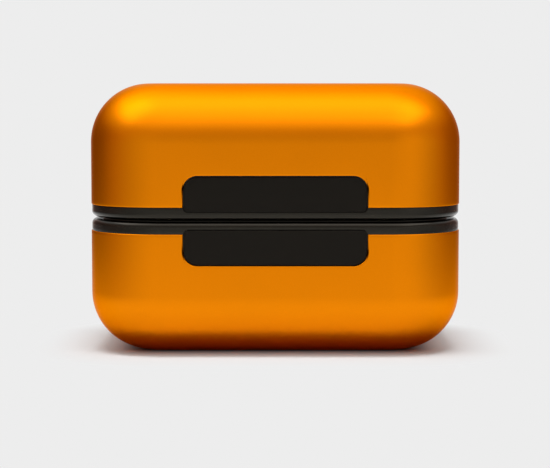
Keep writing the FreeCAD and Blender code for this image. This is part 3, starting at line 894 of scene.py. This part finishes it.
@dataclass(frozen=True)
class RimFrame(SubAssembly):
    """Black moulded frame: the rounded lip beside the seam, the mating land, the deck and the skirt."""

    inset: float = 0.15 * MM
    lip_radius: float = 1.15 * MM
    lip_steps: int = 12
    lip_border: float = 0.08 * MM
    lip_foot: float = 0.03 * MM
    seam_half: float = 0.2 * MM
    land_inset: float = 2.5 * MM
    land_round: float = 0.12 * MM
    land_steps: int = 4
    deck_border: float = 0.1 * MM
    seat_gap: float = 0.15 * MM
    seat_radius: float = 1.0 * MM
    seat_round: float = 0.06 * MM
    seat_steps: int = 3
    band_shares: tuple[float, ...] = (0.0, 0.6, 1.0)
    skirt_low: float = 21.5 * MM
    tab_low: float = 17.85 * MM
    tab_half: float = 21.0 * MM

    def build(self) -> None:
        """Makes the frame.

        Rows run from the middle of the deck up to the land, down to the lip, round it, down the band to
        its lower edge, in under it, down and up the skirt, and back under the deck. The skirt's lower
        edge reaches down in a tab behind each plate.
        """
        body = self.body
        rim = body.rim(self.seat_gap, self.seat_radius, 1.0)
        foot = body.height - self.seam_half - self.lip_radius - self.lip_foot
        inner = body.skirt_inset + body.shell_wall
        quarter = body.outline.quarter
        from_middle = np.abs((rim.base + quarter) % (2 * quarter) - quarter)
        hem = np.where(from_middle < self.tab_half, self.tab_low, self.skirt_low)
        rows = [rim.ring(inset, level) for inset, level in self._profile()]
        rows += rim.rows(self.inset, foot, self.seat_round, self.band_shares)
        rows += rim.broken(self.inset, self.seat_round, self.seat_steps)
        rows += rim.rows(body.skirt_inset, foot, 0.0, (1.0,))
        rows += [rim.ring(body.skirt_inset, hem), rim.ring(inner, hem), rim.ring(inner, body.shell_top)]
        surface = Surface()
        surface.add_solid(body.grid(rows))
        self.join(surface, "rim_frame_skin", "black_moulding", "rim_frame")

    def _profile(self) -> Profile:
        """The section from the deck's border up over the land and down round the lip.

        Returns:
            Pairs of an inset and a height.
        """
        body = self.body
        lip = body.height - self.seam_half
        land = rounded(self.land_round, self.land_steps)
        return [
            (body.face_inset + self.deck_border, body.deck_top),
            (body.face_inset, body.deck_top),
            *(land * (-1.0, 1.0) + (body.face_inset, body.height)),
            *(land[::-1] + (self.land_inset, body.height)),
            (self.land_inset, lip),
            (self.inset + self.lip_radius + self.lip_border, lip),
            *(rounded(self.lip_radius, self.lip_steps)[::-1] + (self.inset, lip)),
        ]


@dataclass(frozen=True)
class FacePlate(SubAssembly):
    """Flat cover of the mating face, set into the frame's recess."""

    gap: float = 0.15 * MM
    recess: float = 0.25 * MM
    edge_round: float = 0.25 * MM
    edge_steps: int = 6
    columns: int = 360

    def build(self) -> None:
        """Makes the cover: the outline carried up a profile with a rounded upper edge."""
        body = self.body
        top = body.height - self.recess
        inset = body.face_inset + self.gap
        edge = rounded(self.edge_round, self.edge_steps) + (inset, top)
        along = np.linspace(0.0, 4 * body.outline.quarter, self.columns, endpoint=False)
        ones = np.ones_like(along)
        profile = [(inset, body.deck_top), *edge, (inset + 2 * self.edge_round, top)]
        surface = Surface()
        surface.add_solid(body.grid([(along, depth * ones, level * ones) for depth, level in profile]))
        self.join(surface, "face_cover", "black_face", "face_plate")


# Plates -----------------------------------------------------------------------------------------------


@dataclass(frozen=True)
class Plate(SubAssembly):
    """A black plate that fills a window of the shell."""

    facing: Facing
    name: str
    node: str
    holes: tuple[Loop, ...] = ()
    corners: Span = (2.8 * MM, 0.85 * MM)
    corner_steps: int = 12
    edge_round: float = 0.25 * MM
    hole_round: float = 0.1 * MM
    edge_steps: int = 6
    border_share: float = 1.6

    def build(self) -> None:
        """Makes the plate.

        The outline and each opening carry a profile with a rounded front edge from the back to the face.
        The face and the back are flat between those loops.
        """
        body = self.body
        face, back = body.plate_face, body.plate_back
        outline = Loop.box(body.plate_middle, body.plate_half, self.corners, self.corner_steps)
        loops = [(outline, self.edge_round, 1.0)] + [(hole, self.hole_round, -1.0) for hole in self.holes]
        surface = Surface()
        fronts, backs = [], []
        for loop, radius, inward in loops:
            border = inward * radius * self.border_share
            edge = rounded(radius, self.edge_steps) * (inward, 1.0) + (0.0, face)
            surface.add(self.facing.sweep(loop, [(0.0, back), *edge, (border, face)]))
            fronts.append(loop.moved(-border))
            backs.append(loop.places)
        surface.add_face(fronts, lambda flat: self.facing.place(flat, face))
        surface.add_face(backs, lambda flat: self.facing.place(flat, back))
        self.join(surface, self.name, "black_plate", self.node)


@dataclass(frozen=True)
class ChargeLights(SubAssembly):
    """The light bar behind the rear plate, whose pins are the windows of the charge lights."""

    count: int = 4
    pitch: float = 2.1 * MM
    radius: float = 0.55 * MM
    gap: float = 0.05 * MM
    points: int = 28
    bar_half: Span = (4.15 * MM, 1.35 * MM)
    bar_round: float = 0.3 * MM
    bar_thick: float = 1.0 * MM
    bar_steps: int = 4
    sunk: float = 0.125 * MM
    dome: float = 0.1 * MM
    dome_steps: int = 6

    def circles(self, radius: float) -> list[Loop]:
        """A circle about each light."""
        along = (np.arange(self.count) - (self.count - 1) / 2) * self.pitch
        return [Loop.circle((x, self.body.plate_middle[1]), radius, self.points) for x in along]

    def openings(self) -> list[Loop]:
        """Outlines of their openings in the plate."""
        return self.circles(self.radius + self.gap)

    def build(self) -> None:
        """Makes the bar, and the pins on it whose ends are shallow elliptic domes."""
        body = self.body
        back, front = body.plate_back, body.plate_face - self.sunk
        bar = Loop.box(body.plate_middle, self.bar_half, (self.bar_round,) * 2, self.bar_steps)
        dome = rounded(self.radius, self.dome_steps) * (1.0, self.dome / self.radius) + (0.0, front)
        surface = Surface()
        surface.add_solid(Facing.REAR.sweep(bar, [(0.0, back - self.bar_thick), (0.0, back)]))
        for pin in self.circles(self.radius):
            surface.add(Facing.REAR.sweep(pin, [(self.radius, back), (0.0, back), *dome]))
        self.join(surface, "light_windows", "clear_window", "light_bar")


@dataclass(frozen=True)
class Fitting(SubAssembly):
    """A slot-shaped fitting in an opening of the rear plate."""

    x: float
    half: Span
    gap: float
    steps: int = 16
    opening_steps: int = 14

    @property
    def middle(self) -> Span:
        """Where its middle is, as (x, z)."""
        return self.x, self.body.plate_middle[1]

    def slot(self, grown: float = 0.0) -> Loop:
        """Its outline, grown all round."""
        return Loop.pill(self.middle, np.add(self.half, grown), self.steps)

    def opening(self) -> Loop:
        """Outline of its opening in the plate."""
        return Loop.pill(self.middle, np.add(self.half, self.gap), self.opening_steps)


@dataclass(frozen=True)
class ChargingPort(Fitting):
    """The charging port: a steel tube, the plug that closes it, its tongue and the contacts on that."""

    x: float = -10.5 * MM
    half: Span = (4.47 * MM, 1.63 * MM)
    gap: float = 0.27 * MM
    wall: float = 0.3 * MM
    front: float = 24.6 * MM
    back: float = 17.25 * MM
    lip_steps: int = 12
    plug_front: float = 19.55 * MM
    tongue_half: Span = (3.345 * MM, 0.35 * MM)
    tongue_front: float = 24.0 * MM
    tongue_round: float = 0.12 * MM
    tongue_steps: int = 4
    contact_count: int = 12
    contact_pitch: float = 0.5 * MM
    contact_half: Span = (0.13 * MM, 1.3 * MM)
    contact_setback: float = 0.45 * MM
    contact_rise: float = 0.02 * MM
    contact_round: float = 0.04 * MM
    contact_steps: int = 2

    def build(self) -> None:
        """Makes its pieces."""
        self._build_tube()
        self._build_plug()
        self._build_contacts()

    def _build_tube(self) -> None:
        """Makes the tube: the section of its wall, whose front lip is fully round, carried round."""
        half = self.wall / 2
        shoulder = self.front - 3 * half
        lip = rounded(half, self.lip_steps, 2) + (0.0, self.front)
        section = [(0.0, self.back), (0.0, shoulder), *lip, (self.wall, shoulder), (self.wall, self.back)]
        surface = Surface()
        surface.add(Facing.REAR.sweep(self.slot(), [*section, section[0]]))
        self.join(surface, "port_tube", "port_steel", "port_shell")

    def _build_plug(self) -> None:
        """Makes the plug, and the tongue on it whose end is softened."""
        radii = (self.tongue_round,) * 2
        tongue = Loop.box(self.middle, self.tongue_half, radii, self.tongue_steps)
        end = rounded(self.tongue_round, self.tongue_steps) + (0.0, self.tongue_front)
        surface = Surface()
        profile = [(0.0, self.back), (0.0, self.plug_front)]
        surface.add_solid(Facing.REAR.sweep(self.slot(-self.wall), profile))
        surface.add_solid(Facing.REAR.sweep(tongue, [(0.0, self.plug_front), *end]))
        self.join(surface, "port_plug", "port_insulator", "port_insert")

    def _build_contacts(self) -> None:
        """Makes thin pads with bevelled sides in a row on the upper and the lower face of the tongue."""
        middle = self.tongue_front - self.contact_setback - self.contact_half[1]
        radii = (self.contact_round,) * 2
        surface = Surface()
        for side in (-1.0, 1.0):
            face, rise = self.middle[1] + side * self.tongue_half[1], side * self.contact_rise
            profile = [(0.0, face - rise), (0.0, face), (self.contact_rise, face + rise)]
            for step in np.arange(self.contact_count) - (self.contact_count - 1) / 2:
                place = (self.x + step * self.contact_pitch, middle)
                pad = Loop.box(place, self.contact_half, radii, self.contact_steps)
                rings = [np.insert(pad.moved(-inset), 2, height, axis=1) for inset, height in profile]
                surface.add_solid(np.stack(rings), (0.0, 1.0))
        self.join(surface, "port_contacts", "contact_gold", None)


@dataclass(frozen=True)
class PowerButton(Fitting):
    """The press button: its head, flange and stem, and the standby mark printed on its face."""

    x: float = 10.5 * MM
    half: Span = (4.0 * MM, 1.9 * MM)
    gap: float = 0.15 * MM
    front: float = 25.0 * MM
    edge: float = 0.35 * MM
    edge_steps: int = 8
    dish: float = 0.12 * MM
    dish_steps: int = 13
    flange_gap: float = 0.05 * MM
    flange_thick: float = 0.7 * MM
    flange_border: float = 0.6 * MM
    stem_radius: float = 1.1 * MM
    stem_length: float = 1.35 * MM
    stem_points: int = 32
    mark_radius: float = 0.85 * MM
    mark_half_line: float = 0.1 * MM
    mark_rise: float = 0.02 * MM
    mark_ring: Span = (125.0, 415.0)
    mark_ring_points: int = 49
    mark_bar: Span = (0.15, 1.15)
    mark_bar_points: int = 9

    @property
    def reach(self) -> float:
        """Way in from the head's outline to its middle line."""
        return self.half[1] - Loop.END_FLAT

    def build(self) -> None:
        """Makes its pieces."""
        self._build_cap()
        self._build_mark()

    def _dished(self, inset: Array) -> Array:
        """Places out from the middle plane of the button's face.

        The face sinks by the dish's depth times the squared sine of a quarter turn times the share of the
        way from the rounded edge to the head's middle line.

        Args:
            inset: distances in from the head's outline.

        Returns:
            The places.
        """
        share = (inset - self.edge) / (self.reach - self.edge)
        return self.front - self.dish * np.sin(share * QUARTER_TURN) ** 2

    def _build_cap(self) -> None:
        """Makes the head with its rounded edge and dished face, the flange behind the plate and the stem."""
        flange_front = self.body.plate_back - self.flange_gap
        flange_back, border = flange_front - self.flange_thick, self.flange_border
        edge = rounded(self.edge, self.edge_steps) + (0.0, self.front)
        insets = np.linspace(self.edge, self.reach, self.dish_steps + 1)[1:]
        dish = zip(insets, self._dished(insets))
        head = Facing.REAR.sweep(self.slot(), [(0.0, flange_front), *edge, *dish])
        middle_line = head[-1:] * (1.0, 1.0, 0.0) + (0.0, 0.0, self.middle[1])
        section = [(0.0, flange_back), (0.0, flange_front), (border, flange_front)]
        flange = Facing.REAR.sweep(self.slot(border), section)
        stem = Loop.circle(self.middle, self.stem_radius, self.stem_points)
        ends = [(0.0, flange_back - self.stem_length), (0.0, flange_back)]
        surface = Surface()
        surface.add(head)
        surface.add(np.concatenate([head[-1:], middle_line]))
        surface.add(flange)
        surface.add_cap(flange[0])
        surface.add_solid(Facing.REAR.sweep(stem, ends))
        self.join(surface, "button_cap", "button_black", "power_button", Rides.BUTTON)

    def _build_mark(self) -> None:
        """Makes a broken ring and a short bar, each a strip of four corners that follows the dished face."""
        ring = directions(np.radians(np.linspace(*self.mark_ring, self.mark_ring_points)))
        bar = np.linspace(*self.mark_bar, self.mark_bar_points)[:, None] * (0.0, 1.0)
        surface = Surface()
        for path in (ring, bar):
            ahead = np.gradient(path, axis=0)
            ahead /= np.linalg.norm(ahead, axis=1, keepdims=True)
            across = self.mark_half_line * ahead[:, ::-1] * (-1.0, 1.0)
            corners = [(-1.0, -1.0), (1.0, -1.0), (1.0, 1.0), (-1.0, 1.0)]
            sides = [self._on_face(path * self.mark_radius + side * across, rise) for side, rise in corners]
            strip = np.stack(sides, axis=1)
            ends = [np.repeat(strip[end].mean(axis=0)[None], 4, axis=0)[None] for end in (0, -1)]
            surface.add(np.concatenate([ends[0], strip, ends[1]]))
        self.join(surface, "button_mark", "printed_white", None, Rides.BUTTON)

    def _on_face(self, flat: Array, rise: float) -> Array:
        """Places on the dished face.

        Args:
            flat: (n, xz) from the middle of the face.
            rise: how many times the mark's rise they stand off it.

        Returns:
            The places as (n, xyz).
        """
        past = np.maximum(np.abs(flat[:, 0]) - (self.half[0] - self.half[1]), 0.0)
        out = self._dished(self.half[1] - np.hypot(past, flat[:, 1])) + rise * self.mark_rise
        return Facing.REAR.place(flat + self.middle, out)


# Assembly ---------------------------------------------------------------------------------------------


@dataclass(frozen=True)
class Warmer:
    """One unit's new pieces."""

    unit: Unit
    body: Body
    palette: Palette

    def build(self) -> None:
        """Builds and dresses the sub-assemblies in order."""
        shared = (self.unit, self.body, self.palette)
        lights, port, button = ChargeLights(*shared), ChargingPort(*shared), PowerButton(*shared)
        holes = (port.opening(), button.opening(), *lights.openings())
        sub_assemblies = [
            Shell(*shared),
            RimFrame(*shared),
            FacePlate(*shared),
            Plate(*shared, Facing.FRONT, "name_plate", "front_plate"),
            Plate(*shared, Facing.REAR, "rear_plate", "control_plate", holes),
            lights,
            port,
            button,
        ]
        for sub_assembly in sub_assemblies:
            sub_assembly.build()


def dress_nodes(palette: Palette) -> None:
    """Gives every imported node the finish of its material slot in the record.

    Args:
        palette: the finishes' materials.
    """
    for subpart in frame["record"]["subparts"]:
        palette.dress(frame["nodes"][subpart["node"]], subpart["material_slot"])
        log.info("%s keeps its shape, %s", subpart["node"], subpart["material_slot"])


# Studio -----------------------------------------------------------------------------------------------

PALE = 0.847


@dataclass(frozen=True)
class Floor:
    """A pale disc that takes the object's shadow and turns plain away from it.

    Matt pieces are lit by its own colour, and the camera and gloss see a duller one. In gloss it is also a
    pool of light round the object, brightest before and behind it.
    """

    colour: float = 0.93
    seen_colour: float = 0.78
    radius: float = 0.36
    columns: int = 96
    rings: tuple[float, ...] = (1e-5, 0.25, 0.5, 0.75, 1.0)
    footprint: tuple[float, float, float] = (0.028, 0.012, 0.0)
    plain: Span = (0.0, 0.025)
    pool_edge: Span = (0.006, 0.03)
    pool: float = 1.06
    pool_sides: Span = (0.06, 0.22)
    pool_fall: float = 0.7

    def build(self) -> None:
        """Makes the disc of rings about the middle, and a face that closes the smallest one."""
        circle = np.insert(Loop.circle((0.0, 0.0), self.radius, self.columns).places, 2, 0.0, axis=1)
        points = np.array(self.rings)[:, None, None] * circle
        index = np.arange(len(self.rings) * self.columns).reshape(len(self.rings), -1)
        ahead = np.roll(index, -1, axis=1)
        quads = np.stack([index[:-1], index[1:], ahead[1:], ahead[:-1]], axis=-1).reshape(-1, 4)
        mesh = bpy.data.meshes.new("floor")
        mesh.from_pydata(points.reshape(-1, 3), [], quads.tolist() + [index[0].tolist()])
        mesh.materials.append(self._material())
        floor = bpy.data.objects.new("floor", mesh)
        bpy.context.scene.collection.objects.link(floor)

    def _material(self) -> bpy.types.Material:
        """Paper near the object and plain light past it, by the distance from the object's footprint.

        Returns:
            The material.
        """
        material = bpy.data.materials.new("pale_floor")
        material.use_nodes = True
        nodes = Nodes(material.node_tree)
        folded = nodes.vector("ABSOLUTE", nodes.add("TexCoord").outputs["Object"])
        past = nodes.vector("MAXIMUM", nodes.vector("SUBTRACT", folded, self.footprint), (0.0, 0.0, 0.0))
        away = nodes.output(nodes.vector("LENGTH", past), "Value")
        side = nodes.output(nodes.add("SeparateXYZ", inputs={0: folded}), "X")
        camera, through, gloss = nodes.rays()
        seen = camera.most(through)
        plain = (away.step(self.plain) * seen).most(away.step(self.pool_edge) * gloss)
        pool = self.pool - side.step(self.pool_sides) * self.pool_fall
        paper = nodes.mix(seen.most(gloss), (self.colour,) * 3, (self.seen_colour,) * 3)
        matt = nodes.add("BsdfDiffuse", inputs={"Color": paper})
        light = nodes.add("Emission", inputs={"Color": PALE + (pool - PALE) * gloss})
        mixed = nodes.add("MixShader", inputs={0: plain, 1: matt, 2: light})
        nodes.add("OutputMaterial", inputs={"Surface": mixed})
        return material


@dataclass(frozen=True)
class Surround:
    """The brightness all round.

    The camera sees it pale and even, and matt surfaces get a little light from it. Gloss mirrors a studio
    that is brighter ahead, behind and overhead than at its sides. Its tones at the ground and low above it
    are stops over the bearing, which is 0 towards -Y, ahead, and 1 towards +Y. The other spans are of the
    direction's X, Y or Z.
    """

    ambient: float = 0.05
    overhead: float = 1.15
    low: tuple[Span, ...] = (
        (0.0, 0.6), (0.1, 0.65), (0.35, 0.35), (0.65, 0.14), (0.92, 0.12), (0.985, 0.65), (1.0, 0.9),
    )
    ground: tuple[Span, ...] = (
        (0.0, 0.72), (0.1, 0.74), (0.35, 0.46), (0.65, 0.13), (0.92, 0.12), (0.985, 0.65), (1.0, 0.9),
    )
    horizon: Span = (-0.02, 0.06)
    rise: Span = (0.15, 0.7)
    side_lag: float = 0.07
    ahead: Span = (-0.2, -0.6)
    gap_foot: Span = (0.24, 0.34)
    gap_head: Span = (0.52, 0.42)
    gap_depth: float = 0.6
    right: Span = (0.2, 0.8)
    right_gain: float = 0.5
    right_high: Span = (0.1, 0.5)
    right_loss: float = 0.68
    lamp_spread: Span = (1.2, 0.66)
    lamp_ahead: float = 0.15
    lamp_edge: Span = (1.5, 0.7)
    lamp_shade: float = 0.9
    least_z: float = 0.05
    least_square: float = 1e-6
    dark: Span = (0.65, 0.2)
    dark_tint: Colour = (1.5, 0.95, 0.8)

    def build(self) -> None:
        """Makes the world.

        What gloss mirrors goes from the ground's tone to the low one at the horizon and on to the
        overhead one higher up, a little later at the sides. Ahead a darker gap parts the low light from
        the overhead one, and the right is brighter low down and darker higher up. It is dim where the
        overhead lamps stand, in an ellipse on their plane, so that gloss shows them and not what is
        behind them.
        """
        world = bpy.data.worlds.new("studio")
        bpy.context.scene.world = world
        world.use_nodes = True
        nodes = Nodes(world.node_tree)
        split = nodes.add("SeparateXYZ", inputs={0: nodes.add("TexCoord").outputs["Generated"]})
        x, y, z = (nodes.output(split, axis) for axis in "XYZ")
        bearing = y / nodes.math("SQRT", x * x + y * y + self.least_square) * 0.5 + 0.5
        low, ground = (
            nodes.value("ValToRGB", {"stops": stops}, {0: bearing}) for stops in (self.low, self.ground)
        )
        ahead = y.step(self.ahead)
        shown = ground + (low - ground) * z.step(self.horizon)
        rise = (z + (ahead - 1.0) * self.side_lag).step(self.rise)
        shown = shown + (self.overhead - shown) * rise
        gap = ahead * z.step(self.gap_foot) * z.step(self.gap_head)
        right = x.step(self.right) * (self.right_gain - z.step(self.right_high) * self.right_loss)
        up = z.most(self.least_z)
        across = x / up / self.lamp_spread[0]
        along = (y / up + self.lamp_ahead) / self.lamp_spread[1]
        lamps = (across * across + along * along).step(self.lamp_edge)
        shown = shown * (1.0 - gap * self.gap_depth) * (1.0 + right) * (1.0 - lamps * self.lamp_shade)
        camera, _, gloss = nodes.rays()
        strength = camera * PALE + gloss * shown + (1.0 - camera) * (1.0 - gloss) * self.ambient
        tone = nodes.mix(gloss * shown.step(self.dark), WHITE, self.dark_tint)
        background = nodes.add("Background", inputs={"Color": tone, "Strength": strength})
        nodes.add("OutputWorld", inputs={"Surface": background})


class Lights(Enum):
    """What a lamp lights."""

    ALL = "everything"
    GLOSS = "metal and gloss"
    MATT = "matt surfaces and the floor"


@dataclass(frozen=True)
class Lamp:
    """A rectangular lamp that faces the object, unseen by the camera. Its power is watts a square metre."""

    name: str
    place: tuple[float, float, float]
    size: Span
    power: float
    lights: Lights = Lights.ALL

    aim: ClassVar[Vector] = Vector((0.0, 0.0, 0.03))

    def build(self) -> None:
        """Makes the lamp."""
        data = bpy.data.lights.new(self.name, "AREA")
        data.shape = "RECTANGLE"
        data.size, data.size_y = self.size
        data.energy = self.power * self.size[0] * self.size[1]
        lamp = bpy.data.objects.new(self.name, data)
        lamp.location = self.place
        lamp.rotation_mode = "QUATERNION"
        lamp.rotation_quaternion = (self.aim - Vector(self.place)).to_track_quat("-Z", "Y")
        lamp.visible_camera = False
        lamp.visible_diffuse = self.lights is not Lights.GLOSS
        lamp.visible_glossy = self.lights is not Lights.MATT
        bpy.context.scene.collection.objects.link(lamp)


LAMPS = (
    Lamp("overhead_bank", (-0.02, -0.08, 0.54), (1.1, 0.26), 6.4, Lights.GLOSS),
    Lamp("overhead_spill", (-0.02, -0.08, 0.54), (1.2, 0.66), 4.6, Lights.GLOSS),
    Lamp("left_bank", (-0.34, -0.08, 0.5), (0.34, 0.36), 2.4),
    Lamp("right_bank", (0.36, -0.08, 0.5), (0.3, 0.36), 1.2),
    Lamp("floor_fill", (-0.02, -0.085, 0.52), (0.3, 0.1), 80.0, Lights.MATT),
)


@dataclass(frozen=True)
class Camera:
    """A camera in front, a little above the seam, looking slightly down."""

    eye: tuple[float, float, float] = (-0.00006, -0.375, 0.0538)
    pitch: float = math.radians(4.517)
    lens: float = 110.15
    clip: Span = (0.01, 10.0)

    def build(self) -> None:
        """Makes the camera."""
        data = bpy.data.cameras.new("camera")
        data.lens = self.lens
        data.clip_start, data.clip_end = self.clip
        camera = bpy.data.objects.new("camera", data)
        camera.location = self.eye
        camera.rotation_euler = (QUARTER_TURN - self.pitch, 0.0, 0.0)
        bpy.context.scene.collection.objects.link(camera)
        bpy.context.scene.camera = camera


def main() -> None:
    """Builds the studio and both units."""
    logging.basicConfig(level=logging.INFO, format="%(message)s")
    for stage in (Floor(), Surround(), *LAMPS, Camera()):
        stage.build()
    bpy.context.scene.view_settings.view_transform = "Standard"
    palette = Palette()
    dress_nodes(palette)
    body = Body.measured()
    for unit in (Unit("lower", False, body.height), Unit("upper", True, body.height)):
        Warmer(unit, body, palette).build()


if __name__ == "__main__":
    main()
